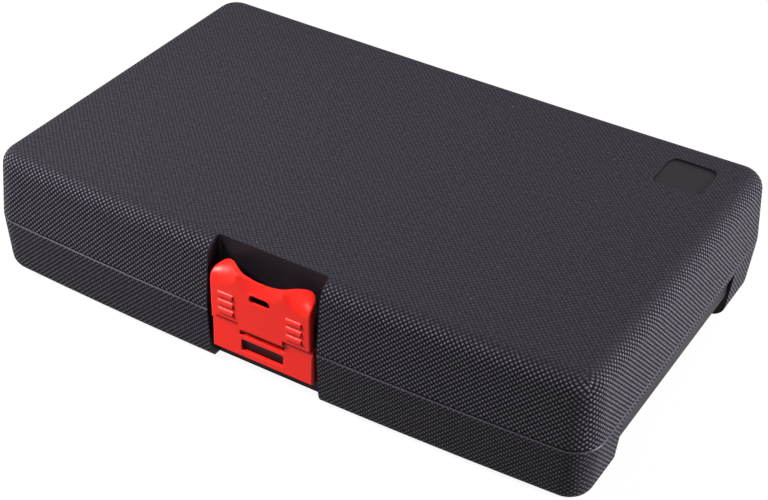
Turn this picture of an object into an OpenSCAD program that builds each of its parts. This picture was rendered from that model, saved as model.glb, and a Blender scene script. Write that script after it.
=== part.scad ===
// Hard tool case: two moulded half shells on a pinned back hinge, a pocketed tool bed in the
// base, a dished liner in the lid, and a snap latch that pivots in a bracket at the front.
// Millimetres. +X to the right, -Y to the front, +Z up. The origin is under the middle of the
// case, on the surface that it stands on.

/* [Case] */
// Width at the parting line, left to right
case_w = 300; // [280:5:320]
// Depth at the parting line, without the front bow
case_d = 187; // [180:1:195]
// Height of the base half
base_h = 29.5; // [28:0.5:32]
// Height of the lid half
lid_h = 33.8; // [32:0.2:36]
// How far the front wall bows out at its middle
front_bow = 3.5; // [2.5:0.5:4]
// How far the back wall sinks in at its middle
rear_sag = 1.2; // [0:0.2:1.6]
// Corner radius seen from above
corner_r = 13.5; // [13:0.5:16]
// Rounding of the lid's top edge
lid_edge_r = 8.7; // [7:0.1:9]
// Rounding of the base's bottom edge
base_edge_r = 7.5; // [6:0.5:8]
// Draft of the lid's outer walls, in degrees
lid_draft = 4.4; // [3:0.1:5]
// Draft of the base's outer walls, in degrees
base_draft = 4.8; // [4:0.1:5]
// Open gap along the parting line
parting_gap = 0.3; // [0.2:0.05:0.4]

/* [Walls] */
// Wall thickness of both shells
wall_t = 2.6; // [2.4:0.1:2.8]
// Width of the rim, which is thicker than the wall
rim_t = 4.2; // [4:0.1:4.6]
// Height of the tongue on the base's rim
tongue_h = 1.6; // [1.2:0.1:1.8]

/* [Latch] */
// Width of the latch pocket in the front wall
pocket_w = 55; // [54:0.5:57]
// Width of the lever and of its bracket
latch_w = 51; // [50:0.5:52.5]
// Height of the lever's two ears above the ground
ear_z = 55.1; // [54:0.1:56]
// Lowest point of the scoop between the ears
scoop_z = 52.8; // [52:0.2:53.4]

/* [Hinge] */
// Distance of each hinge from the middle of the back
hinge_x = 88; // [70:2:96]
// Radius of the hinge knuckles
knuckle_r = 3; // [2.9:0.1:3.2]
// Radius of the hinge pins
pin_r = 1.5; // [1.4:0.1:1.6]

/* [Hidden] */
$fn = 64;

// Plan outline: corner arcs round fixed centres, a bowed front and a sunk back.
half_w = case_w / 2;
half_d = case_d / 2;
centre_x = half_w - corner_r;
centre_y = half_d - corner_r;
corner_steps = 8;
bow_steps = 12;

// Heights.
lid_z = base_h + parting_gap;
top_z = base_h + lid_h;
floor_t = 2.8;
roof_t = 2.8;
rim_chamfer = 0.4;
rim_depth = 3.5;
rim_slope = 2;
inner_edge_r = 5;

// Latch pocket.
pocket_y = -87;
pocket_wall = 4.4;
pocket_side = 3;
pocket_corner_r = 1.6;
pocket_flare = 2.4;
hook_w = 4;
hook_x = 9;
ledge_z = 42.4;
recess_h = 4.4;
recess_d = 2.4;

// Latch. The axle lies behind the bracket's face and below the split, so that the lever's
// lower edge passes in front of the bracket when it swings down.
lug_r = 2;
axle_y = -94.1;
axle_z = base_h - 0.2 - lug_r;
bracket_face = axle_y - lug_r + 0.1;
bracket_foot = 11.4;
bracket_top = 22.4;
bracket_chamfer = 0.8;
plate_t = 2.5;
cheek_t = 2.2;
window = [21.4, 6.3];
window_z = 17.4;
lever_face = bracket_face - 1.4;
lever_top_face = lever_face - 0.6;
lever_w = latch_w - 1;
lever_back = -94.8;
ear_back = -89.3;
ear_x = 21;
ear_round = 8;
lever_round = 1;
lever_foot = axle_z + lug_r + 0.4;
tongue_w = 22;
tongue_foot = 27.1;
tongue_lip = 25.4;
axle_r = 0.8;
axle_bore = axle_r + 0.05;
axle_len = 44;

// Hinge.
hinge_y = half_d + 1.5;
lid_knuckle_w = 16;
base_knuckle_w = 14;
knuckle_gap = 0.4;
relief_r = knuckle_r + 0.5;
pin_bore = pin_r + 0.05;
pin_len = lid_knuckle_w + 2 * (base_knuckle_w + knuckle_gap);

// Finger recess in each short side of the base: a rounded bar between two corner feet.
recess_len = 118;
recess_y = -2;
recess_top = 25.8;
recess_step = 2.6;
bar_r = 5;
bar_z = 14.2;
bar_under = 17;

// Badge recess on the lid.
badge = [118, 62.5];
badge_size = [23, 23.4];
badge_d = 0.9;
badge_r = 4;

// Tool bed. Each compartment is [x, y, width, depth from front to back, corner radius].
bed_top = base_h - 1.3;
bed_plate = 2.2;
bed_wall = 1.8;
plate_x = 143;
plate_y = [-88.4, 87.4];
plate_r = 8;
notch = [68, 8];
well_floor = floor_t + 1.6;
cell = 44;
cell_pitch = 48;
wells = concat(
    [[0, -53, 236, 40, 10], [0, 60, 236, 34, 10]],
    [for (k = [-2:2]) [k * cell_pitch, 4, cell, 62, 6]]
);

// Lid liner: a plate with a dished panel that rises into the lid.
liner_z = lid_z + 1.2;
liner_t = 2.2;
pan = [232, 128];
pan_y = 6;
pan_rise = 18;
pan_wall = 2;
pan_r = 12;

// ---- Plan outline and lofts ----

// Points of one corner arc, a quarter turn from start_angle.
function corner_arc(x, y, r, start_angle) = [
    for (k = [0:corner_steps])
        let (a = start_angle + 90 * k / corner_steps)
            [x + r * cos(a), y + r * sin(a)]
];

// Points of the bowed front, between the two front corners.
function front_arc(inset) = [
    for (k = [1:bow_steps - 1])
        let (x = centre_x * (2 * k / bow_steps - 1))
            [x, -(half_d - inset) - front_bow * (1 - pow(x / centre_x, 2))]
];

// Points of the sunk back, between the two back corners.
function rear_arc(inset) = [
    for (k = [1:bow_steps - 1])
        let (x = centre_x * (1 - 2 * k / bow_steps))
            [x, half_d - inset - rear_sag * (1 - pow(x / centre_x, 2))]
];

// The case's outline seen from above, moved in by inset.
function outline(inset) = concat(
    corner_arc(centre_x, centre_y, corner_r - inset, 0),
    rear_arc(inset),
    corner_arc(-centre_x, centre_y, corner_r - inset, 90),
    corner_arc(-centre_x, -centre_y, corner_r - inset, 180),
    front_arc(inset),
    corner_arc(centre_x, -centre_y, corner_r - inset, 270)
);

// A closed solid through a list of flat rings of points, capped at both ends. Each ring runs
// anticlockwise as seen from the last one.
module skin(rings) {
    n = len(rings[0]);
    walls = [
        for (k = [0:len(rings) - 2])
            for (i = [0:n - 1])
                let (a = k * n + i, b = k * n + (i + 1) % n)
                    each [[a, a + n, b + n], [a, b + n, b]]
    ];
    first_cap = [for (i = [0:n - 1]) i];
    last_cap = [for (i = [n - 1:-1:0]) (len(rings) - 1) * n + i];
    polyhedron([for (r = rings) each r], concat([first_cap], walls, [last_cap]));
}

// A solid with the case's outline, through a list of [inset, z] rings.
module loft(rings) {
    skin([for (r = rings) [for (p = outline(r[0])) [p[0], p[1], r[1]]]]);
}

// Rings of a rounded edge of radius r, from the flat to the wall. up is 1 where the flat is
// above the wall and -1 where it is below.
function edge_rings(inset, z_flat, r, up, steps) = [
    for (k = [0:steps])
        let (a = 90 * k / steps)
            [inset + r * (1 - sin(a)), z_flat - up * r * (1 - cos(a))]
];

function reversed(list) = [for (i = [len(list) - 1:-1:0]) list[i]];

// ---- Small shared shapes ----

// A flat rectangle with round corners, centred.
module round_rect(size, r) {
    square([size[0] - 2 * r, size[1]], center = true);
    square([size[0], size[1] - 2 * r], center = true);
    for (sx = [-1, 1], sy = [-1, 1])
        translate([sx * (size[0] / 2 - r), sy * (size[1] / 2 - r)])
            circle(r);
}

// A slot with round ends along X, centred.
module slot_shape(length, width) {
    square([length - width, width], center = true);
    for (side = [-1, 1])
        translate([side * (length - width) / 2, 0])
            circle(width / 2);
}

// A profile drawn in Y and Z, extruded along X and centred on x.
module along_x(x, width) {
    translate([x - width / 2, 0, 0])
        rotate([90, 0, 90])
            linear_extrude(width)
                children();
}

// A profile drawn in X and Z, extruded along Y from y0 to y1.
module along_y(y0, y1) {
    translate([0, y1, 0])
        rotate([90, 0, 0])
            linear_extrude(y1 - y0)
                children();
}

// A round bar along X, centred on x.
module bar_x(x, y, z, r, length) {
    translate([x - length / 2, y, z])
        rotate([0, 90, 0])
            cylinder(r = r, h = length);
}

// ---- Features that both halves share ----

// The walls round the latch pocket, before it is cut. line is their front edge in Y and Z,
// from the inside of the case to the parting line or the other way round.
module pocket_walls(line) {
    along_x(0, pocket_w + 2 * pocket_side)
        polygon(line);
}

// The pocket itself, with a flare at the ground.
module pocket_cut() {
    depth = 16;
    translate([0, pocket_y - depth / 2, -1])
        linear_extrude(top_z + 2)
            round_rect([pocket_w, depth], pocket_corner_r);
    along_y(pocket_y - depth, pocket_y)
        difference() {
            translate([-pocket_w / 2 - pocket_flare, -1])
                square([pocket_w + 2 * pocket_flare, pocket_flare + 1]);
            for (side = [-1, 1])
                translate([side * (pocket_w / 2 + pocket_flare), pocket_flare])
                    circle(pocket_flare);
        }
}

// A hinge knuckle and the web that joins it to the back wall, before it is bored. up is 1 for
// the lid and -1 for the base.
module knuckle(x, width, up) {
    bar_x(x, hinge_y, base_h, knuckle_r, width);
    along_x(x, width)
        polygon([
            [hinge_y, base_h],
            [hinge_y, base_h + up * (knuckle_r - 0.2)],
            [half_d - 3.2, base_h + up * 8],
            [half_d - 3.2, base_h + up * 1],
        ]);
}

// Where the other half's knuckle needs room.
module knuckle_relief(x, width) {
    bar_x(x, hinge_y, base_h, relief_r, width + 2 * knuckle_gap);
}

module hinge_bores(r) {
    for (side = [-1, 1])
        bar_x(side * hinge_x, hinge_y, base_h, r, pin_len + 2);
}

// ---- Base half ----

base_slope = tan(base_draft);
base_foot_in = (base_h - base_edge_r) * base_slope;

module base_walls() {
    inner_foot = wall_t + (base_h - floor_t - inner_edge_r) * base_slope;
    loft(concat(
        edge_rings(base_foot_in, 0, base_edge_r, -1, 7),
        [
            [rim_chamfer * base_slope, base_h - rim_chamfer],
            [rim_chamfer, base_h],
            [1.3, base_h],
            [1.5, base_h + tongue_h],
            [2.5, base_h + tongue_h],
            [2.7, base_h],
            [rim_t, base_h],
            [rim_t, base_h - rim_depth],
            [wall_t + (rim_depth + rim_slope) * base_slope, base_h - rim_depth - rim_slope],
        ],
        reversed(edge_rings(inner_foot, floor_t, inner_edge_r, -1, 4))
    ));
}

// The boss that the bracket's window drops over.
module bracket_boss() {
    play = 0.4;
    face = bracket_face + 1.4;
    low = window_z - window[1] / 2 + play;
    high = window_z + window[1] / 2 - play;
    along_x(0, window[0] - 2 * play)
        polygon([
            [pocket_y + 1, low],
            [face, low],
            [face, high - 0.8],
            [face + 0.8, high],
            [pocket_y + 1, high],
        ]);
}

// The rounded bar's profile from the parting band inwards and down, in X and Z.
function bar_line(grow) = concat(
    [[half_w - recess_step - grow, recess_top]],
    [for (a = [0:-10:-50])
        [half_w - recess_step - bar_r + (bar_r - grow) * cos(a),
            bar_z + (bar_r - grow) * sin(a)]],
    [
        [half_w - bar_under + 6.5 - grow, 9.8 + grow / 2],
        [half_w - bar_under + 1.5 - grow, 5],
        [half_w - bar_under - grow, -1],
    ]
);

// What is cut from under the bar on the right side.
module finger_cut() {
    along_y(recess_y - recess_len / 2, recess_y + recess_len / 2)
        polygon(concat(bar_line(0), [[half_w + 5, -1], [half_w + 5, recess_top]]));
}

// The wall behind it, closed at both ends by the sides of the feet.
module finger_wall() {
    along_y(recess_y - recess_len / 2 - wall_t, recess_y + recess_len / 2 + wall_t)
        intersection() {
            polygon(concat(
                bar_line(wall_t),
                [[half_w - 7, -1], [half_w - 3.4, 8], [half_w - 1.6, recess_top]]
            ));
            translate([0, 1])
                square([half_w, base_h - 2]);
        }
}

module base_shell() {
    color([0.14, 0.13, 0.15])
        difference() {
            union() {
                difference() {
                    union() {
                        base_walls();
                        pocket_walls([
                            [pocket_y + pocket_wall, 1],
                            [pocket_y - 1, 1],
                            [-93, base_edge_r],
                            [-93, base_h],
                            [pocket_y + pocket_wall, base_h],
                        ]);
                        for (side = [0, 1])
                            mirror([side, 0, 0])
                                finger_wall();
                    }
                    pocket_cut();
                    for (side = [0, 1])
                        mirror([side, 0, 0])
                            finger_cut();
                    // The rim has no tongue along the hinge.
                    translate([-half_w, half_d - 7, base_h])
                        cube([case_w, 8, tongue_h + 1]);
                    for (side = [-1, 1])
                        knuckle_relief(side * hinge_x, lid_knuckle_w);
                }
                bracket_boss();
                for (side = [-1, 1], end = [-1, 1])
                    knuckle(side * hinge_x
                        + end * (lid_knuckle_w + base_knuckle_w + 2 * knuckle_gap) / 2,
                        base_knuckle_w, -1);
            }
            hinge_bores(pin_bore);
        }
}

// ---- Tool bed ----

// The flat plate of the bed or the liner, which clears the latch pocket's walls.
module insert_plate(z, thickness) {
    translate([0, 0, z])
        linear_extrude(thickness)
            difference() {
                translate([0, (plate_y[0] + plate_y[1]) / 2])
                    round_rect([2 * plate_x, plate_y[1] - plate_y[0]], plate_r);
                translate([-notch[0] / 2, plate_y[0] - 1])
                    square([notch[0], notch[1] + 1]);
            }
}

module tool_bed() {
    color([0.22, 0.22, 0.24])
        difference() {
            union() {
                insert_plate(bed_top - bed_plate, bed_plate);
                for (w = wells)
                    translate([w[0], w[1], floor_t])
                        linear_extrude(bed_top - floor_t - 1)
                            round_rect([w[2] + 2 * bed_wall, w[3] + 2 * bed_wall],
                                w[4] + bed_wall);
            }
            for (w = wells)
                translate([w[0], w[1], well_floor])
                    linear_extrude(bed_top)
                        round_rect([w[2], w[3]], w[4]);
        }
}

// ---- Latch ----

module latch_bracket() {
    lug_in = tongue_w / 2 + 0.4;
    lug_len = latch_w / 2 - lug_in;
    color([0.8, 0.13, 0.12])
        difference() {
            union() {
                intersection() {
                    translate([0, 0, bracket_foot])
                        linear_extrude(axle_z - bracket_foot)
                            polygon([
                                [-latch_w / 2, bracket_face + plate_t],
                                [-latch_w / 2, bracket_face + bracket_chamfer],
                                [-latch_w / 2 + bracket_chamfer, bracket_face],
                                [latch_w / 2 - bracket_chamfer, bracket_face],
                                [latch_w / 2, bracket_face + bracket_chamfer],
                                [latch_w / 2, bracket_face + plate_t],
                            ]);
                    along_y(bracket_face, bracket_face + plate_t)
                        difference() {
                            translate([-latch_w / 2, bracket_foot])
                                square([latch_w, axle_z - bracket_foot]);
                            translate([-lug_in, bracket_top])
                                square([2 * lug_in, axle_z]);
                        }
                }
                for (side = [-1, 1]) {
                    bar_x(side * (lug_in + lug_len / 2), axle_y, axle_z, lug_r, lug_len);
                    // Cheeks run back to the pocket's wall.
                    along_x(side * (latch_w - cheek_t) / 2, cheek_t)
                        polygon([
                            [bracket_face + 1, bracket_foot],
                            [pocket_y - 0.1, bracket_foot + 2],
                            [pocket_y - 0.1, axle_z - 2],
                            [axle_y + 1, axle_z],
                            [bracket_face + 1, axle_z],
                        ]);
                }
            }
            along_y(bracket_face - 1, bracket_face + plate_t + 1)
                translate([0, window_z])
                    round_rect(window, 0.8);
            bar_x(0, axle_y, axle_z, axle_bore, axle_len + 0.6);
        }
}

module latch_pin() {
    color([0.7, 0.7, 0.72])
        bar_x(0, axle_y, axle_z, axle_r, axle_len);
}

// Height of the lever's top edge, a from the middle: a scoop, then an ear that falls away to
// the side.
function edge_z(a) =
    a < 15 ? scoop_z + (ear_z - scoop_z) * pow(sin(6 * a), 3)
    : ear_z - 4.7 * (1 - sqrt(1 - pow((a - 15) / (lever_w / 2 - 14.95), 2)));

// Y of the top edge: the ears reach back towards the pocket's wall.
function edge_y(a) =
    a < 9 ? lever_back
    : a < ear_x ? lever_back + (ear_back - lever_back) * (1 - cos(180 * (a - 9) / (ear_x - 9))) / 2
    : ear_back - 4.5 * (1 - cos(90 * (a - ear_x) / (lever_w / 2 - ear_x)));

// The face leans out towards the top.
function lever_y(z) =
    lever_face + (lever_top_face - lever_face) * (z - lever_foot) / (ear_z - lever_foot);

// Section of the lever's plate at x: a flat back, the top edge, a shoulder that grows towards
// the ears, and the face. The face turns back at the plate's sides.
function lever_ring(x) =
    let (
        a = abs(x),
        z = edge_z(a),
        y = edge_y(a),
        side = max(0, a - lever_w / 2 + lever_round),
        turn = lever_round - sqrt(max(0, pow(lever_round, 2) - pow(side, 2))),
        grow = a < 8 ? 0.06 : a < 16 ? 0.06 + 0.94 * (1 - cos(22.5 * (a - 8))) / 2 : 1,
        drop = grow * (a < ear_x ? ear_round : ear_round - 4 * (a - ear_x) / (lever_w / 2 - ear_x)),
        face = lever_y(z - drop) + turn,
        reach = grow * (y - 0.5 - face)
    )
    concat(
        [
            [x, lever_back, lever_foot],
            [x, lever_back, z - 2 - (y - lever_back)],
            [x, y, z - 1.4],
            [x, y, z],
        ],
        [for (k = [6:-1:0]) [x, face + reach * (1 - cos(15 * k)), z - drop * (1 - sin(15 * k))]],
        [[x, lever_face + turn, lever_foot]]
    );

// The lever's plate, without its valley.
module lever_plate() {
    side = concat(
        [2, 5, 8],
        [for (k = [1:10]) 8 + 1.6 * k],
        [for (k = [1:4]) lever_w / 2 - lever_round * (1 - sin(22.5 * k))]
    );
    skin([for (x = concat(-reversed(side), side)) lever_ring(x)]);
}

// The scoop's valley between the ears, fading out above the slot.
module lever_valley() {
    valley_r = 45;
    valley_z = 43.5;
    translate([0, lever_y(valley_z), valley_z])
        rotate([-10, 0, 0])
            translate([0, -valley_r, 0])
                cylinder(r = valley_r, h = 50, center = true, $fn = 96);
}

module latch_lever() {
    slot_z = 45.2;
    color([0.86, 0.16, 0.14])
        difference() {
            union() {
                difference() {
                    lever_plate();
                    lever_valley();
                }
                // Tongue down to the axle, stepped back at its foot.
                along_x(0, tongue_w)
                    polygon([
                        [lever_face, lever_foot + 1],
                        [lever_face, tongue_foot],
                        [lever_face + 0.9, tongue_foot - 0.2],
                        [lever_face + 1.1, tongue_lip],
                        [axle_y, axle_z - lug_r],
                        [axle_y + 1.2, lever_foot + 1],
                    ]);
                bar_x(0, axle_y, axle_z, lug_r, tongue_w);
                // Raised rim of the slot.
                along_y(lever_y(slot_z), lever_y(slot_z) + 3)
                    translate([0, slot_z])
                        slot_shape(12.4, 6);
                // Grip ribs.
                for (side = [-1, 1], z = [33.1, 37.4, 41.7])
                    bar_x(side * 17, lever_y(z) + 0.8, z, 1.7, 7.4);
                // Hooks that hold the lid's ledge.
                for (side = [-1, 1])
                    along_x(side * hook_x, hook_w)
                        polygon([
                            [lever_back - 1, ledge_z + 0.4],
                            [pocket_y + 1.3, ledge_z + 0.4],
                            [pocket_y + 1.8, ledge_z + 0.9],
                            [pocket_y + 1.8, ledge_z + 1.4],
                            [pocket_y - 1.5, ledge_z + 2.6],
                            [lever_back - 1, ledge_z + 7],
                        ]);
            }
            // The wall behind the slot is thin.
            along_y(lever_y(slot_z) + 1.2, lever_back + 1)
                translate([0, slot_z - 1])
                    square([12.6, 10], center = true);
            along_y(lever_face - 2, lever_back + 2)
                translate([0, slot_z])
                    slot_shape(10.4, 4);
            bar_x(0, axle_y, axle_z, axle_bore, tongue_w + 2);
        }
}

// ---- Hinge pins ----

module hinge_pin(side) {
    color([0.7, 0.7, 0.72])
        bar_x(side * hinge_x, hinge_y, base_h, pin_r, pin_len);
}

module hinge_pin_left() {
    hinge_pin(-1);
}

module hinge_pin_right() {
    hinge_pin(1);
}

// ---- Lid half ----

lid_slope = tan(lid_draft);
lid_head_in = (lid_h - lid_edge_r) * lid_slope;

module lid_walls() {
    inner_head = wall_t + (lid_h - roof_t - inner_edge_r) * lid_slope;
    loft(concat(
        edge_rings(inner_head, top_z - roof_t, inner_edge_r, 1, 4),
        [
            [wall_t + (rim_depth + rim_slope) * lid_slope, lid_z + rim_depth + rim_slope],
            [rim_t, lid_z + rim_depth],
            [rim_t, lid_z],
            [3, lid_z],
            [2.9, lid_z + tongue_h + 0.3],
            [1.1, lid_z + tongue_h + 0.3],
            [1, lid_z],
            [rim_chamfer, lid_z],
            [rim_chamfer * lid_slope, lid_z + rim_chamfer],
        ],
        reversed(edge_rings(lid_head_in, top_z, lid_edge_r, 1, 8))
    ));
}

// The shallow recess on top that takes a badge.
module badge_cut() {
    translate([badge[0], badge[1], top_z - badge_d])
        linear_extrude(2)
            round_rect(badge_size, badge_r);
}

module lid_shell() {
    color([0.16, 0.15, 0.17])
        difference() {
            union() {
                difference() {
                    union() {
                        lid_walls();
                        pocket_walls([
                            [pocket_y + pocket_wall, top_z - 1],
                            [pocket_y - 2.5, top_z - 1],
                            [-93.2, top_z - lid_edge_r],
                            [-93.2, lid_z],
                            [pocket_y + pocket_wall, lid_z],
                        ]);
                    }
                    pocket_cut();
                    badge_cut();
                    for (side = [-1, 1], end = [-1, 1])
                        knuckle_relief(side * hinge_x
                            + end * (lid_knuckle_w + base_knuckle_w + 2 * knuckle_gap) / 2,
                            base_knuckle_w);
                }
                for (side = [-1, 1])
                    knuckle(side * hinge_x, lid_knuckle_w, 1);
            }
            hinge_bores(pin_bore);
            // Catches for the lever's hooks.
            for (side = [-1, 1])
                translate([side * hook_x - hook_w / 2 - 1, pocket_y - 1, ledge_z])
                    cube([hook_w + 2, recess_d + 1, recess_h]);
        }
}

module lid_liner() {
    pan_top = liner_z + pan_rise;
    color([0.22, 0.22, 0.24])
        difference() {
            union() {
                insert_plate(liner_z, liner_t);
                translate([0, pan_y, liner_z + 1])
                    linear_extrude(pan_rise - 1)
                        round_rect([pan[0] + 2 * pan_wall, pan[1] + 2 * pan_wall],
                            pan_r + pan_wall);
            }
            translate([0, pan_y, liner_z - 1])
                linear_extrude(pan_rise - pan_wall + 1)
                    round_rect(pan, pan_r);
        }
}

base_shell();
tool_bed();
latch_bracket();
latch_pin();
hinge_pin_left();
hinge_pin_right();
lid_shell();
lid_liner();
latch_lever();
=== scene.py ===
"""Hard tool case: dresses the CAD solids of the case with moulded grain, soft edges and finishes."""

import math

import bmesh
import bpy
from bpy.props import FloatProperty, FloatVectorProperty, PointerProperty
from mathutils import Matrix, Vector


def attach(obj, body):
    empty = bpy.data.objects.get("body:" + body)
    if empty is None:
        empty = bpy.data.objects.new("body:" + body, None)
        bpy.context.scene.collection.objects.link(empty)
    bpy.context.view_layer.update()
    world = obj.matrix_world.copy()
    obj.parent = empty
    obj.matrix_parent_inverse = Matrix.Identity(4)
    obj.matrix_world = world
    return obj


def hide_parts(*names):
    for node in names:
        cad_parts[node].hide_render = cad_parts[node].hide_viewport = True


bl_info = {
    "name": "Hard Tool Case",
    "version": (1, 0, 0),
    "blender": (4, 5, 0),
    "location": "3D View > Sidebar > Tool Case",
    "description": "Grained shells, latch and interior of a hard tool case, on its CAD frame",
    "category": "Object",
}

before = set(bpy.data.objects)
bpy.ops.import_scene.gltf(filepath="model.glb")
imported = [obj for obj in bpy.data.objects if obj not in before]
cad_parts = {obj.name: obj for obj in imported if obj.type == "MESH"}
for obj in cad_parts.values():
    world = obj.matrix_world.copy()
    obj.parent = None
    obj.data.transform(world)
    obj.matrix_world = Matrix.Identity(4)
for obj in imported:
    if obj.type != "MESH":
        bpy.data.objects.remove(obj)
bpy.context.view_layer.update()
MM = 0.001

# Outline of the case in millimetres, as its solids have it.
HALF_W = 150.0
HALF_D = 93.5
CORNER_R = 13.5
CENTRE_X = HALF_W - CORNER_R
CENTRE_Y = HALF_D - CORNER_R
FRONT_BOW = 3.5
REAR_SAG = 1.2
TOP_Z = 63.3
SPLIT_Z = 29.5
LID_Z = 29.8
LID_EDGE_R = 8.7
BASE_EDGE_R = 7.5
LID_DRAFT = math.radians(4.4)
BASE_DRAFT = math.radians(4.8)

# Vertices this near are one, and facets within this angle lie on one flat.
WELD = 0.002 * MM
ONE_FLAT = math.radians(0.2)

# How near to the ideal flat or profile a face of the skin lies, in millimetres.
FLAT_SLACK = 0.02
SKIN_SLACK = 0.2
# How far from the case's ends, and how much nearer to the front or back than to them, a face that
# looks sideways lies if it is the side of a cut, in millimetres.
END_CLEAR = 2.0
CUT_CLEAR = 1.0
# Limits on one part of a face's unit normal: out of the flat, sideways along x, back from the flat,
# and exactly level.
STRAIGHT_OUT = 0.9
SIDEWAYS = 0.5
BACKWARD = -0.3
LEVEL = 0.999
# Rounding of the rim where the skin is cut and the height beside the parting line that keeps its
# sharp rim, in millimetres, and the angle from which a rim is sharp.
RIM_R = 0.5
SEAM_CLEAR = 1.0
SHARP_RIM = math.radians(35)
# Height of the base's chamfered lip, how far below the parting line it still counts and how far in
# from the outline it reaches, in millimetres, and the upright part of its unit normal.
LIP_TALL = 0.45
LIP_BELOW = 0.01
LIP_REACH = 0.6
LIP_FLATTEST = 0.95
LIP_STEEPEST = 0.3
# Painted shade on the lid and a painted highlight band on the base, next to the parting line, in
# millimetres.
PAINTED_SEAM_SHADE_TALL = 0.7
BAND_DOWN = 0.6
BAND_HALF = 0.16

# Share of the grain's relief on the base's walls and on a flat. It fades from wall to flat while the
# upright part of the surface's normal rises from FADE_FROM by FADE_SPAN. The same share scales the
# painted highlight on the crowns and the painted shade in the grooves.
BASE_RELIEF = 0.62
FLAT_RELIEF = 0.18
FADE_FROM = 0.6
FADE_SPAN = 0.38

# How sharply a diamond's painted crown highlight stands out, how light a flat without relief would be
# painted, how much lighter the painted highlight band below the lip is, and the height of the etch on
# each diamond in millimetres.
CROWN_SHARPNESS = 1.9
FLAT_LIGHTNESS = 0.1
PAINTED_LIP_GLINT = 0.4
ETCH_TALL = 0.03

IOR_POLYPROPYLENE = 1.49
IOR_ABS = 1.53

# The camera: where it stands in metres, the direction behind it, its roll and its sensor's width.
CAMERA_AT = Vector((0.32125, -0.55421, 0.47546))
CAMERA_BACK = Vector((0.40486, -0.70266, 0.58511)).normalized()
CAMERA_ROLL = math.radians(2.198)
SENSOR_MM = 36.0
# Each lamp's name, edge length, place and aim in metres, and spread in degrees.
LAMPS = (
    ("key", 0.6, (0.35, 0.75, 1.05), (0, 0, 0.03), 180),
    ("side", 0.5, (1.2, 0.3, 0.4), (0, 0, 0.03), 180),
    ("front", 0.3, (-0.55, -0.42, 0.66), (-0.13, -0.06, 0.03), 65),
)
# The floor's half width in metres and how far it lies below the case, so that the two don't touch.
FLOOR_HALF = 3.0
FLOOR_DROP = 0.1 * MM
# Grey of the floor where it is seen, how far it is lifted to white there, and the strength of the
# world's own light where the world isn't seen.
FLOOR_SEEN = 0.9
FLOOR_LIFT = 0.93
WORLD_DIM = 0.12


def srgb(hex_code):
    """Linear RGBA of an sRGB hex colour."""
    out = []
    for k in (0, 2, 4):
        c = int(hex_code[k:k + 2], 16) / 255
        out.append(c / 12.92 if c <= 0.04045 else ((c + 0.055) / 1.055) ** 2.4)
    return (*out, 1.0)


def add_node(tree, kind, links=None, **settings):
    """Add a node; links maps an input's name or number to another node's socket or to a value."""
    node = tree.nodes.new(kind)
    for key, value in settings.items():
        setattr(node, key, value)
    for key, value in (links or {}).items():
        if isinstance(value, bpy.types.NodeSocket):
            tree.links.new(value, node.inputs[key])
        else:
            node.inputs[key].default_value = value
    return node


# ---- Settings ----


def colour_property(name, description, hex_code):
    """A colour that the user can change, with its default as an sRGB hex colour."""
    return FloatVectorProperty(
        name=name, description=description, default=srgb(hex_code)[:3],
        subtype="COLOR", size=3, min=0.0, max=1.0,
    )


class ShellSettings(bpy.types.PropertyGroup):
    """Grain and colour of the two moulded half shells."""

    grain_pitch: FloatProperty(
        name="Grain Pitch", description="Distance between two neighbouring grooves of the grain",
        default=1.68 * MM, min=0.0005, max=0.003, unit="LENGTH",
    )
    grain_depth: FloatProperty(
        name="Grain Depth", description="Height of the grain's diamonds above their grooves",
        default=0.5 * MM, min=0.0, max=0.0008, unit="LENGTH",
    )
    # The shell colour is the colour of the diamonds' crowns, lighter than the black plastic as a
    # painted highlight. The groove colour is painted shade in the grooves.
    colour: colour_property("Shell Colour", "Colour of the black polypropylene", "5b5563")
    painted_groove_shade: colour_property("Groove Colour", "Colour in the grooves of the grain", "020203")


class LatchSettings(bpy.types.PropertyGroup):
    """Finish of the latch."""

    edge_radius: FloatProperty(
        name="Edge Radius", description="Rounding of the latch's moulded edges",
        default=0.35 * MM, min=0.0001, max=0.0008, unit="LENGTH",
    )
    colour: colour_property("Latch Colour", "Colour of the red ABS", "ee241a")


class InteriorSettings(bpy.types.PropertyGroup):
    """Finish of the tool bed, the lid's liner and the steel pins."""

    edge_radius: FloatProperty(
        name="Bed Edge Radius", description="Rounding of the formed sheet's edges",
        default=0.6 * MM, min=0.0001, max=0.001, unit="LENGTH",
    )
    bed_colour: colour_property("Bed Colour", "Colour of the formed sheet", "2c2b2e")
    steel_colour: colour_property("Steel Colour", "Colour of the zinc-plated pins", "b9bcc0")


class StageSettings(bpy.types.PropertyGroup):
    """Camera, lamps and floor."""

    focal_length: FloatProperty(
        name="Focal Length", description="Focal length of the camera on a 36 mm sensor",
        default=80.257, min=20.0, max=200.0, unit="CAMERA",
    )
    key_power: FloatProperty(
        name="Key Power", description="Power of the large soft lamp above the back",
        default=2.6, min=0.0, max=200.0, unit="POWER",
    )
    side_power: FloatProperty(
        name="Side Power", description="Power of the soft lamp at the right",
        default=37.0, min=0.0, max=200.0, unit="POWER",
    )
    front_power: FloatProperty(
        name="Front Power", description="Power of the soft lamp at the front left",
        default=2.8, min=0.0, max=200.0, unit="POWER",
    )
    floor_colour: colour_property(
        "Floor Colour", "Colour of the floor as its light reaches the case", "585858",
    )


# ---- Meshes ----


def merged_copy(node, name):
    """A new object with a welded copy of a CAD node's mesh, its flat facets joined."""
    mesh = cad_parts[node].data.copy()
    mesh.name = name
    mesh.materials.clear()
    bm = bmesh.new()
    bm.from_mesh(mesh)
    bmesh.ops.remove_doubles(bm, verts=bm.verts, dist=WELD)
    bmesh.ops.dissolve_limit(
        bm, angle_limit=ONE_FLAT, verts=bm.verts, edges=bm.edges, delimit={"NORMAL"},
    )
    bm.to_mesh(mesh)
    bm.free()
    piece = bpy.data.objects.new(name, mesh)
    bpy.context.scene.collection.objects.link(piece)
    return piece


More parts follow.
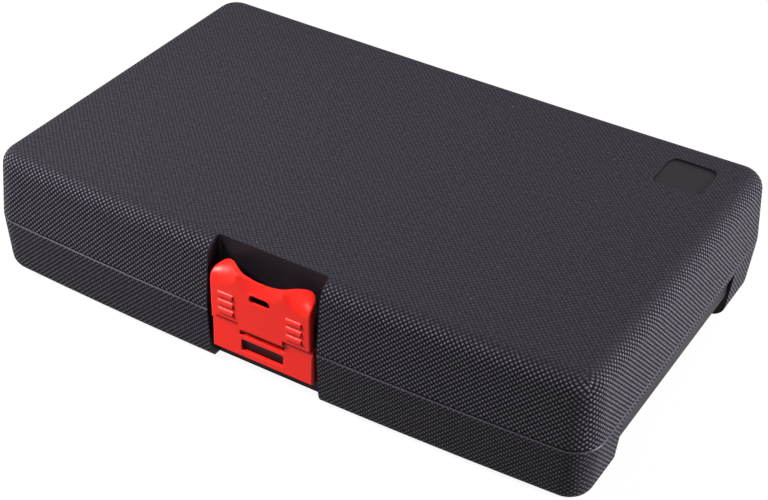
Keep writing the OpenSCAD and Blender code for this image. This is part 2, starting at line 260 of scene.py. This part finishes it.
def apply_modifiers(piece):
    """Replace the piece's mesh by its evaluated one and drop its modifiers."""
    graph = bpy.context.evaluated_depsgraph_get()
    graph.update()
    result = bpy.data.meshes.new_from_object(piece.evaluated_get(graph))
    piece.modifiers.clear()
    piece.data = result


def round_edges(piece, radius, angle=35, segments=2, material=-1):
    """Round the edges of a piece that are sharper than an angle in degrees.

    The new faces take the material of that number, or with -1 the one beside them."""
    bevel = piece.modifiers.new("round", "BEVEL")
    bevel.width = radius
    bevel.segments = segments
    bevel.limit_method = "ANGLE"
    bevel.angle_limit = math.radians(angle)
    bevel.use_clamp_overlap = True
    bevel.miter_outer = "MITER_ARC"
    bevel.material = material
    apply_modifiers(piece)


def shade(piece, angle=30):
    """Smooth shading with sharp edges above an angle; large flat facets keep their own normal."""
    piece.data.shade_smooth()
    piece.data.set_sharp_from_angle(angle=math.radians(angle))
    weighted = piece.modifiers.new("weighted", "WEIGHTED_NORMAL")
    weighted.mode = "FACE_AREA"
    weighted.weight = 100
    weighted.keep_sharp = True
    apply_modifiers(piece)


def finish_piece(piece, body, node, *materials):
    """Give the piece its materials and let it ride in place of its CAD node."""
    for material in materials:
        piece.data.materials.append(material)
    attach(piece, body)
    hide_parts(node)


# ---- Grain ----


def bulge(x, y):
    """How far the front bows out, or the back sinks in, at x, in millimetres."""
    share = max(0.0, 1 - (x / CENTRE_X) ** 2)
    return FRONT_BOW * share if y < 0 else -REAR_SAG * share


def plan_inset(x, y):
    """How far a point lies inside the case's outline at the parting line, in millimetres."""
    ax, ay = abs(x), abs(y)
    if ax > CENTRE_X and ay > CENTRE_Y:
        return CORNER_R - math.hypot(ax - CENTRE_X, ay - CENTRE_Y)
    if ay > CENTRE_Y or HALF_D - ay < HALF_W - ax:
        return HALF_D - ay + bulge(x, y)
    return HALF_W - ax


def head_inset(flat_z, edge_r, draft):
    """Inset of the skin where its rounded edge meets the drafted wall, in millimetres."""
    return (abs(flat_z - SPLIT_Z) - edge_r) * math.tan(draft)


def way_along_skin(z, flat_z, edge_r, draft):
    """Way along the outer skin from the rim of its flat to the height z, in millimetres."""
    down = abs(flat_z - z)
    if down >= edge_r:
        return edge_r * math.pi / 2 + (down - edge_r) / math.cos(draft)
    return edge_r * math.acos(1 - down / edge_r)


def skin_gap(x, y, z, flat_z, edge_r, draft):
    """Distance of a point from the outer skin's profile, in millimetres."""
    down = abs(flat_z - z)
    inset = plan_inset(x, y)
    head_in = head_inset(flat_z, edge_r, draft)
    if down >= edge_r:
        return abs(inset - head_in + (down - edge_r) * math.tan(draft)) * math.cos(draft)
    across = head_in + edge_r - inset
    return down if across < 0 else abs(math.hypot(across, edge_r - down) - edge_r)


def on_skin(face, flat_z, edge_r, draft):
    """Whether a face belongs to the grained outer skin."""
    c = face.calc_center_median() / MM
    n = face.normal
    up = 1 if flat_z > SPLIT_Z else -1
    if abs(c.z - flat_z) < FLAT_SLACK:
        return n.z * up > STRAIGHT_OUT
    # The side walls of the cuts through the front and the back face along x, far from the ends.
    from_end = HALF_W - abs(c.x)
    near_end = abs(c.x) >= CENTRE_X - END_CLEAR or plan_inset(c.x, c.y) >= from_end - CUT_CLEAR
    if abs(n.x) > SIDEWAYS and not near_end:
        return False
    # Inner walls face the middle of the case, and the undersides of cuts face back from the flat.
    if n.x * c.x + n.y * c.y < 0 or n.z * up < BACKWARD:
        return False
    return skin_gap(*c, flat_z, edge_r, draft) < SKIN_SLACK


def is_lip(face):
    """Whether a face is the base's chamfer along the parting line, on the outside."""
    c = face.calc_center_median() / MM
    n = face.normal
    beside_seam = SPLIT_Z - LIP_TALL < c.z < SPLIT_Z - LIP_BELOW
    outward = n.x * c.x + n.y * c.y > 0 and plan_inset(c.x, c.y) < LIP_REACH
    return beside_seam and outward and LIP_STEEPEST < n.z < LIP_FLATTEST


def soften_cuts(bm):
    """Round the rim where the grained skin is cut, away from the parting line."""
    rim = [
        edge for edge in bm.edges
        if len(edge.link_faces) == 2
        and edge.link_faces[0].material_index != edge.link_faces[1].material_index
        and edge.calc_face_angle(0) > SHARP_RIM
        and abs(sum(v.co.z for v in edge.verts) / 2 / MM - SPLIT_Z) > SEAM_CLEAR
    ]
    bmesh.ops.bevel(
        bm, geom=rim, offset=RIM_R * MM, offset_type="OFFSET", segments=2, profile=0.5,
        affect="EDGES", clamp_overlap=True, material=1,
    )


def map_grain(bm, flat_z, edge_r, draft):
    """UV map in millimetres, over the flat and, unbroken, round its edge and down each wall."""
    layer = bm.loops.layers.uv.new("grain")
    start = head_inset(flat_z, edge_r, draft) + edge_r
    for face in bm.faces:
        front = abs(face.normal.y) > abs(face.normal.x)
        flat = abs(face.normal.z) > LEVEL
        for loop in face.loops:
            p = loop.vert.co / MM
            way = way_along_skin(p.z, flat_z, edge_r, draft)
            u, v = p.x, p.y
            if front and not flat:
                v = math.copysign(HALF_D - start + bulge(p.x, p.y) + way, p.y)
            elif not flat:
                u = math.copysign(HALF_W - start + way, p.x)
            loop[layer].uv = (u, v)


def mark_relief(bm, full):
    """Share of the grain's relief at each point: full on the walls, shallow on the flats."""
    relief = bm.verts.layers.float.new("relief")
    for vert in bm.verts:
        level = min(1.0, max(0.0, (abs(vert.normal.z) - FADE_FROM) / FADE_SPAN))
        fade = level * level * (3 - 2 * level)
        vert[relief] = full * (1 - (1 - FLAT_RELIEF) * fade)


def grain_skin(piece, flat_z, edge_r, draft, relief):
    """Mark the outer skin, soften where it is cut, and map the grain over it.

    The skin takes material 0, the lip at the parting line material 2, the rest material 1."""
    bm = bmesh.new()
    bm.from_mesh(piece.data)
    bm.normal_update()
    for face in bm.faces:
        face.material_index = 0 if on_skin(face, flat_z, edge_r, draft) else 1
        if is_lip(face):
            face.material_index = 2
    soften_cuts(bm)
    map_grain(bm, flat_z, edge_r, draft)
    mark_relief(bm, relief)
    bm.to_mesh(piece.data)
    bm.free()


# ---- Materials ----


def new_material(name):
    """An empty material with its output and a Principled shader."""
    material = bpy.data.materials.new(name)
    material.use_nodes = True
    tree = material.node_tree
    tree.nodes.clear()
    shader = add_node(tree, "ShaderNodeBsdfPrincipled")
    add_node(tree, "ShaderNodeOutputMaterial", {"Surface": shader.outputs["BSDF"]})
    return material, tree, shader


def feature_scale(size):
    """Scale of a texture on object coordinates whose features have a size in millimetres."""
    return 1 / (size * MM)


def seen_as_background(tree):
    """Socket that is 1 for the rays that show a background: camera, glossy and transmission."""
    ray = add_node(tree, "ShaderNodeLightPath").outputs
    direct = add_node(tree, "ShaderNodeMath",
                      {0: ray["Is Camera Ray"], 1: ray["Is Glossy Ray"]}, operation="ADD")
    return add_node(tree, "ShaderNodeMath", {0: direct.outputs[0], 1: ray["Is Transmission Ray"]},
                    operation="ADD", use_clamp=True).outputs[0]


def diamond_form(tree, uv, pitch):
    """Socket of the diamonds' height: |sin a| * |sin b|, with a round crown and grooves between."""
    turn = add_node(tree, "ShaderNodeMapping", {0: uv, "Rotation": (0, 0, math.pi / 4)},
                    vector_type="POINT")
    axes = add_node(tree, "ShaderNodeSeparateXYZ", {0: turn.outputs["Vector"]})
    arcs = []
    for axis in ("X", "Y"):
        wave = add_node(tree, "ShaderNodeMath", {0: axes.outputs[axis], 1: math.pi / pitch},
                        operation="MULTIPLY")
        sine = add_node(tree, "ShaderNodeMath", {0: wave.outputs[0]}, operation="SINE")
        arcs.append(add_node(tree, "ShaderNodeMath", {0: sine.outputs[0]}, operation="ABSOLUTE"))
    return add_node(tree, "ShaderNodeMath", {0: arcs[0].outputs[0], 1: arcs[1].outputs[0]},
                    operation="MULTIPLY").outputs[0]


def painted_crown_light(tree, uv, form, relief):
    """Socket of how light each crown is painted, from the diamonds' form: a painted highlight on the
    crowns and painted shade in the grooves.

    It is fainter on the flats, where the mould draws straight off the grain, and uneven from one
    diamond to the next, as the mould's etching leaves it."""
    sharp = add_node(tree, "ShaderNodeMath", {0: form, 1: CROWN_SHARPNESS},
                     operation="POWER")
    even = add_node(tree, "ShaderNodeMix",
                    {"Factor": relief, "A": FLAT_LIGHTNESS, "B": sharp.outputs[0]},
                    data_type="FLOAT")
    # The map is in millimetres, so this noise changes every 1.8 mm, a little over one diamond.
    etched = add_node(tree, "ShaderNodeTexNoise", {"Vector": uv, "Scale": 0.55, "Detail": 2.0})
    uneven = add_node(tree, "ShaderNodeMapRange",
                      {"Value": etched.outputs["Fac"], "From Min": 0.3, "From Max": 0.7,
                       "To Min": 0.72, "To Max": 1.28})
    return add_node(tree, "ShaderNodeMath", {0: even.outputs["Result"], 1: uneven.outputs[0]},
                    operation="MULTIPLY").outputs[0]


def edged_crowns(tree, spot, crowns):
    """The crowns' socket with both sides of the parting line drawn in.

    Just above the lid's lower edge the grain's colour goes dark on a narrow strip, painted shade along
    the parting line, and just below the base's lip a band is painted light as a highlight."""
    level = add_node(tree, "ShaderNodeSeparateXYZ", {0: spot})
    # Painted shade along the parting line, and a painted highlight band below the lip.
    seam_shade = add_node(tree, "ShaderNodeMath",
                    {0: level.outputs["Z"], 1: LID_Z * MM, 2: PAINTED_SEAM_SHADE_TALL * MM},
                    operation="COMPARE")
    band = add_node(tree, "ShaderNodeMath",
                    {0: level.outputs["Z"], 1: (SPLIT_Z - BAND_DOWN) * MM, 2: BAND_HALF * MM},
                    operation="COMPARE")
    lip_glint = add_node(tree, "ShaderNodeMath", {0: band.outputs[0], 1: PAINTED_LIP_GLINT, 2: crowns},
                      operation="MULTIPLY_ADD")
    return add_node(tree, "ShaderNodeMath", {0: lip_glint.outputs[0], 1: seam_shade.outputs[0]},
                    operation="SUBTRACT", use_clamp=True).outputs[0]


def grained_polypropylene(settings):
    """Black polypropylene from a mould with cut diamond grain: dull, with a painted highlight as a lit
    dot on each diamond and painted shade in the grooves between them."""
    material, tree, shader = new_material("polypropylene_black_diamond_grain")
    uv = add_node(tree, "ShaderNodeUVMap", uv_map="grain").outputs["UV"]
    spot = add_node(tree, "ShaderNodeTexCoord").outputs["Object"]
    relief = add_node(tree, "ShaderNodeAttribute", attribute_name="relief").outputs["Fac"]
    form = diamond_form(tree, uv, settings.grain_pitch / MM)
    crown = edged_crowns(tree, spot, painted_crown_light(tree, uv, form, relief))
    # Flow marks and handling haze, some 60 mm across.
    haze = add_node(tree, "ShaderNodeTexNoise",
                    {"Vector": spot, "Scale": feature_scale(62.5), "Detail": 4.0})
    # The fine etch on each diamond, 0.2 mm across.
    etch = add_node(tree, "ShaderNodeTexNoise",
                    {"Vector": spot, "Scale": feature_scale(0.2), "Detail": 2.0})
    # Lint, one speck in about 12 mm.
    lint = add_node(tree, "ShaderNodeTexVoronoi",
                    {"Vector": spot, "Scale": feature_scale(11.765), "Randomness": 1.0})
    speck = add_node(tree, "ShaderNodeMapRange",
                     {"Value": lint.outputs["Distance"], "From Min": 0.035, "From Max": 0.02,
                      "To Min": 0.0, "To Max": 0.3})

    # The colour runs from the painted shade in the grooves to the painted highlight on the crowns.
    body = add_node(tree, "ShaderNodeMix",
                    {"Factor": crown, "A": (*settings.painted_groove_shade, 1),
                     "B": (*settings.colour, 1)}, data_type="RGBA")
    dusty = add_node(tree, "ShaderNodeMix",
                     {"Factor": speck.outputs["Result"], "A": body.outputs["Result"],
                      "B": srgb("8a8890")}, data_type="RGBA")
    # The haze clouds the crowns' satin face, and the grooves are fully dull.
    rough = add_node(tree, "ShaderNodeMapRange",
                     {"Value": haze.outputs["Fac"], "From Min": 0.3, "From Max": 0.7,
                      "To Min": 0.26, "To Max": 0.34})
    dull = add_node(tree, "ShaderNodeMapRange",
                    {"Value": crown, "From Min": 0.05, "From Max": 0.6,
                     "To Min": 1.0, "To Max": rough.outputs["Result"]})
    # Heights are in millimetres up to the bump, which turns them to metres.
    tall = add_node(tree, "ShaderNodeMath", {0: relief, 1: settings.grain_depth / MM},
                    operation="MULTIPLY")
    depth = add_node(tree, "ShaderNodeMath", {0: form, 1: tall.outputs[0]}, operation="MULTIPLY")
    height = add_node(tree, "ShaderNodeMath",
                      {0: etch.outputs["Fac"], 1: ETCH_TALL, 2: depth.outputs[0]},
                      operation="MULTIPLY_ADD")
    bump = add_node(tree, "ShaderNodeBump",
                    {"Height": height.outputs[0], "Distance": MM, "Strength": 1.0})
    shader.inputs["IOR"].default_value = IOR_POLYPROPYLENE
    shader.inputs["Specular IOR Level"].default_value = 0.15
    tree.links.new(dusty.outputs["Result"], shader.inputs["Base Color"])
    tree.links.new(dull.outputs["Result"], shader.inputs["Roughness"])
    tree.links.new(bump.outputs["Normal"], shader.inputs["Normal"])
    return material


def sparked_plastic(name, colour, rough, grit, depth, ior=IOR_POLYPROPYLENE, gloss=0.12):
    """Moulded plastic with a fine spark-eroded surface: an even satin face, a little cloudy.

    rough is its least and greatest roughness, grit and depth are the surface's in millimetres."""
    material, tree, shader = new_material(name)
    spot = add_node(tree, "ShaderNodeTexCoord").outputs["Object"]
    # Clouds some 22 mm across.
    haze = add_node(tree, "ShaderNodeTexNoise",
                    {"Vector": spot, "Scale": feature_scale(22.222), "Detail": 5.0})
    grain = add_node(tree, "ShaderNodeTexNoise",
                     {"Vector": spot, "Scale": feature_scale(grit), "Detail": 2.0})
    dark = [c * 0.86 for c in colour]
    tint = add_node(tree, "ShaderNodeMix",
                    {"Factor": haze.outputs["Fac"], "A": (*dark, 1), "B": (*colour, 1)},
                    data_type="RGBA")
    satin = add_node(tree, "ShaderNodeMapRange",
                     {"Value": haze.outputs["Fac"], "From Min": 0.3, "From Max": 0.7,
                      "To Min": rough[0], "To Max": rough[1]})
    bump = add_node(tree, "ShaderNodeBump",
                    {"Height": grain.outputs["Fac"], "Distance": depth * MM, "Strength": 1.0})
    shader.inputs["IOR"].default_value = ior
    shader.inputs["Specular IOR Level"].default_value = gloss
    tree.links.new(tint.outputs["Result"], shader.inputs["Base Color"])
    tree.links.new(satin.outputs["Result"], shader.inputs["Roughness"])
    tree.links.new(bump.outputs["Normal"], shader.inputs["Normal"])
    return material


def plain_polypropylene():
    """Black polypropylene from a plain mould face: near black and dull, in the latch pocket and
    inside the shells."""
    return sparked_plastic("polypropylene_black_plain", srgb("19151b")[:3], (0.45, 0.55), 0.4, 0.02)


def lip_highlight_polypropylene():
    """Black polypropylene worn smooth by the lid's edge along the lip, paler there as a painted
    highlight.
    """
    return sparked_plastic("polypropylene_black_burnished", srgb("3a363f")[:3], (0.3, 0.4), 0.4, 0.005)


def formed_polypropylene(settings):
    """Black polypropylene sheet, heated and drawn over a form: coarser and duller than a mould's."""
    return sparked_plastic("polypropylene_black_formed", settings.bed_colour, (0.5, 0.62), 0.8, 0.03)


def satin_abs(settings):
    """Red moulded ABS: a strong even colour with a soft sheen."""
    return sparked_plastic("abs_red_satin", settings.colour, (0.34, 0.44), 0.3, 0.012, IOR_ABS, 0.2)


def abs_edge_highlight():
    """Red ABS on its rounded edges, where the mould is polished: a glossy line, painted light as a
    highlight.
    """
    return sparked_plastic("abs_red_polished_edge", srgb("ff6e62")[:3], (0.2, 0.28), 0.3, 0.004,
                           IOR_ABS, 0.5)


def zinc_plated_steel(settings):
    """Zinc-plated steel wire: bright, cool grey, with fine drawing lines along the pin."""
    material, tree, shader = new_material("steel_zinc_plated")
    spot = add_node(tree, "ShaderNodeTexCoord")
    # The lines are some 25 mm long and 0.25 mm apart.
    across = feature_scale(0.25)
    stretch = add_node(tree, "ShaderNodeMapping",
                       {0: spot.outputs["Object"], "Scale": (feature_scale(25), across, across)})
    lines = add_node(tree, "ShaderNodeTexNoise",
                     {"Vector": stretch.outputs["Vector"], "Scale": 1.0, "Detail": 3.0})
    rough = add_node(tree, "ShaderNodeMapRange",
                     {"Value": lines.outputs["Fac"], "To Min": 0.22, "To Max": 0.42})
    bump = add_node(tree, "ShaderNodeBump",
                    {"Height": lines.outputs["Fac"], "Distance": 0.01 * MM, "Strength": 0.6})
    shader.inputs["Base Color"].default_value = (*settings.steel_colour, 1)
    shader.inputs["Metallic"].default_value = 1.0
    tree.links.new(rough.outputs["Result"], shader.inputs["Roughness"])
    tree.links.new(bump.outputs["Normal"], shader.inputs["Normal"])
    return material


def matt_card(settings):
    """Matt card, seen as white with the case's shadow on it, and duller as a source of light."""
    material, tree, shader = new_material("card_white_matt")
    seen = seen_as_background(tree)
    card = add_node(tree, "ShaderNodeMix",
                    {"Factor": seen, "A": (*settings.floor_colour, 1),
                     "B": (FLOOR_SEEN, FLOOR_SEEN, FLOOR_SEEN, 1)}, data_type="RGBA")
    tree.links.new(card.outputs["Result"], shader.inputs["Base Color"])
    shader.inputs["Roughness"].default_value = 0.9
    shader.inputs["Specular IOR Level"].default_value = 0.1
    lift = add_node(tree, "ShaderNodeMath", {0: seen, 1: FLOOR_LIFT}, operation="MULTIPLY")
    glow = add_node(tree, "ShaderNodeEmission", {"Color": (1, 1, 1, 1), "Strength": 1.0})
    mix = add_node(tree, "ShaderNodeMixShader",
                   {0: lift.outputs[0], 1: shader.outputs["BSDF"], 2: glow.outputs[0]})
    out = next(n for n in tree.nodes if n.type == "OUTPUT_MATERIAL")
    tree.links.new(mix.outputs[0], out.inputs["Surface"])
    return material


# ---- Stage ----


def add_camera(scene, focal_length):
    """A camera on a 36 mm sensor, turned from upright by its roll."""
    right = (-CAMERA_BACK).cross(Vector((0, 0, 1))).normalized()
    up = right.cross(-CAMERA_BACK)
    side = right * math.cos(CAMERA_ROLL) + up * math.sin(CAMERA_ROLL)
    head = up * math.cos(CAMERA_ROLL) - right * math.sin(CAMERA_ROLL)
    data = bpy.data.cameras.new("camera")
    data.sensor_fit = "HORIZONTAL"
    data.sensor_width = SENSOR_MM
    data.lens = focal_length
    data.clip_start, data.clip_end = 0.01, 20.0
    camera = bpy.data.objects.new("camera", data)
    scene.collection.objects.link(camera)
    place = Matrix((side, head, CAMERA_BACK)).transposed().to_4x4()
    place.translation = CAMERA_AT
    camera.matrix_world = place
    scene.camera = camera


def add_lamps(scene, settings):
    """The soft square lamps, each turned to where it aims."""
    for name, size, at, aim, spread in LAMPS:
        lamp = bpy.data.lights.new(f"lamp_{name}", "AREA")
        lamp.energy = getattr(settings, f"{name}_power")
        lamp.size = size
        lamp.spread = math.radians(spread)
        holder = bpy.data.objects.new(f"lamp_{name}", lamp)
        holder.location = at
        holder.rotation_mode = "QUATERNION"
        holder.rotation_quaternion = (Vector(aim) - Vector(at)).to_track_quat("-Z", "Y")
        scene.collection.objects.link(holder)


def add_floor(scene, settings):
    """A plain square floor, just under the case."""
    mesh = bpy.data.meshes.new("floor")
    corners = [(x * FLOOR_HALF, y * FLOOR_HALF, -FLOOR_DROP)
               for x, y in ((-1, -1), (1, -1), (1, 1), (-1, 1))]
    mesh.from_pydata(corners, [], [(0, 1, 2, 3)])
    mesh.materials.append(matt_card(settings))
    floor = bpy.data.objects.new("floor", mesh)
    scene.collection.objects.link(floor)


def add_world(scene):
    """White for the camera and in reflections, and an even dim light elsewhere."""
    world = bpy.data.worlds.new("studio")
    world.use_nodes = True
    tree = world.node_tree
    tree.nodes.clear()
    level = add_node(tree, "ShaderNodeMapRange",
                     {"Value": seen_as_background(tree), "To Min": WORLD_DIM, "To Max": 1.0})
    back = add_node(tree, "ShaderNodeBackground",
                    {"Color": (1, 1, 1, 1), "Strength": level.outputs["Result"]})
    add_node(tree, "ShaderNodeOutputWorld", {"Surface": back.outputs[0]})
    scene.world = world


# ---- Operators ----


class CASE_OT_stage(bpy.types.Operator):
    """Add the camera, the lamps, the floor and the world"""

    bl_idname = "case.stage"
    bl_label = "Stage"

    def execute(self, context):
        scene = context.scene
        scene.view_settings.view_transform = "Standard"
        add_camera(scene, scene.case_stage.focal_length)
        add_lamps(scene, scene.case_stage)
        add_floor(scene, scene.case_stage)
        add_world(scene)
        return {"FINISHED"}


class CASE_OT_shells(bpy.types.Operator):
    """Add the base and the lid shell with their grain"""

    bl_idname = "case.shells"
    bl_label = "Shells"

    def execute(self, context):
        grained = grained_polypropylene(context.scene.case_shells)
        plain = plain_polypropylene()
        # The lip's paler colour is a painted highlight.
        lip = lip_highlight_polypropylene()
        for body, flat_z, edge_r, draft, relief in (
            ("base", 0.0, BASE_EDGE_R, BASE_DRAFT, BASE_RELIEF),
            ("lid", TOP_Z, LID_EDGE_R, LID_DRAFT, 1.0),
        ):
            piece = merged_copy(f"{body}_shell", f"{body}_shell_grained")
            grain_skin(piece, flat_z, edge_r, draft, relief)
            shade(piece)
            finish_piece(piece, body, f"{body}_shell", grained, plain, lip)
        return {"FINISHED"}


class CASE_OT_latch(bpy.types.Operator):
    """Add the latch lever and its bracket with soft moulded edges"""

    bl_idname = "case.latch"
    bl_label = "Latch"

    def execute(self, context):
        settings = context.scene.case_latch
        faces = satin_abs(settings)
        # The edges' lighter red is a painted highlight.
        edges = abs_edge_highlight()
        for body, node in (("base", "latch_bracket"), ("latch", "latch_lever")):
            piece = merged_copy(node, f"{node}_moulded")
            # The rounding gives its faces the second material, so both are there before it.
            for material in (faces, edges):
                piece.data.materials.append(material)
            round_edges(piece, settings.edge_radius, material=1)
            shade(piece)
            finish_piece(piece, body, node)
        return {"FINISHED"}


class CASE_OT_interior(bpy.types.Operator):
    """Add the tool bed and the lid's liner, formed from sheet"""

    bl_idname = "case.interior"
    bl_label = "Tool Bed and Liner"

    def execute(self, context):
        settings = context.scene.case_interior
        sheet = formed_polypropylene(settings)
        for body, node in (("base", "tool_bed"), ("lid", "lid_liner")):
            piece = merged_copy(node, f"{node}_formed")
            round_edges(piece, settings.edge_radius, angle=50, segments=3)
            shade(piece)
            finish_piece(piece, body, node, sheet)
        return {"FINISHED"}


class CASE_OT_pins(bpy.types.Operator):
    """Add the two hinge pins and the latch's axle"""

    bl_idname = "case.pins"
    bl_label = "Steel Pins"

    def execute(self, context):
        steel = zinc_plated_steel(context.scene.case_interior)
        for node in ("hinge_pin_left", "hinge_pin_right", "latch_pin"):
            piece = merged_copy(node, f"{node}_drawn")
            shade(piece)
            finish_piece(piece, "base", node, steel)
        return {"FINISHED"}


class VIEW3D_PT_case(bpy.types.Panel):
    """Sizes, colours and pieces of the case"""

    bl_label = "Tool Case"
    bl_space_type = "VIEW_3D"
    bl_region_type = "UI"
    bl_category = "Tool Case"

    def draw(self, context):
        for name, operators in STEPS:
            box = self.layout.box()
            settings = getattr(context.scene, name)
            for key in settings.__class__.__annotations__:
                box.prop(settings, key)
            for operator in operators:
                box.operator(operator.bl_idname)


STEPS = (
    ("case_shells", (CASE_OT_shells,)),
    ("case_latch", (CASE_OT_latch,)),
    ("case_interior", (CASE_OT_interior, CASE_OT_pins)),
    ("case_stage", (CASE_OT_stage,)),
)
SETTINGS = {
    "case_shells": ShellSettings,
    "case_latch": LatchSettings,
    "case_interior": InteriorSettings,
    "case_stage": StageSettings,
}


def register():
    for name, group in SETTINGS.items():
        bpy.utils.register_class(group)
        setattr(bpy.types.Scene, name, PointerProperty(type=group))
    for _, operators in STEPS:
        for operator in operators:
            bpy.utils.register_class(operator)
    bpy.utils.register_class(VIEW3D_PT_case)


def unregister():
    bpy.utils.unregister_class(VIEW3D_PT_case)
    for _, operators in STEPS:
        for operator in operators:
            bpy.utils.unregister_class(operator)
    for name, group in SETTINGS.items():
        delattr(bpy.types.Scene, name)
        bpy.utils.unregister_class(group)


def main():
    register()
    bpy.ops.case.stage()
    bpy.ops.case.shells()
    bpy.ops.case.latch()
    bpy.ops.case.interior()
    bpy.ops.case.pins()


if __name__ == "__main__":
    main()
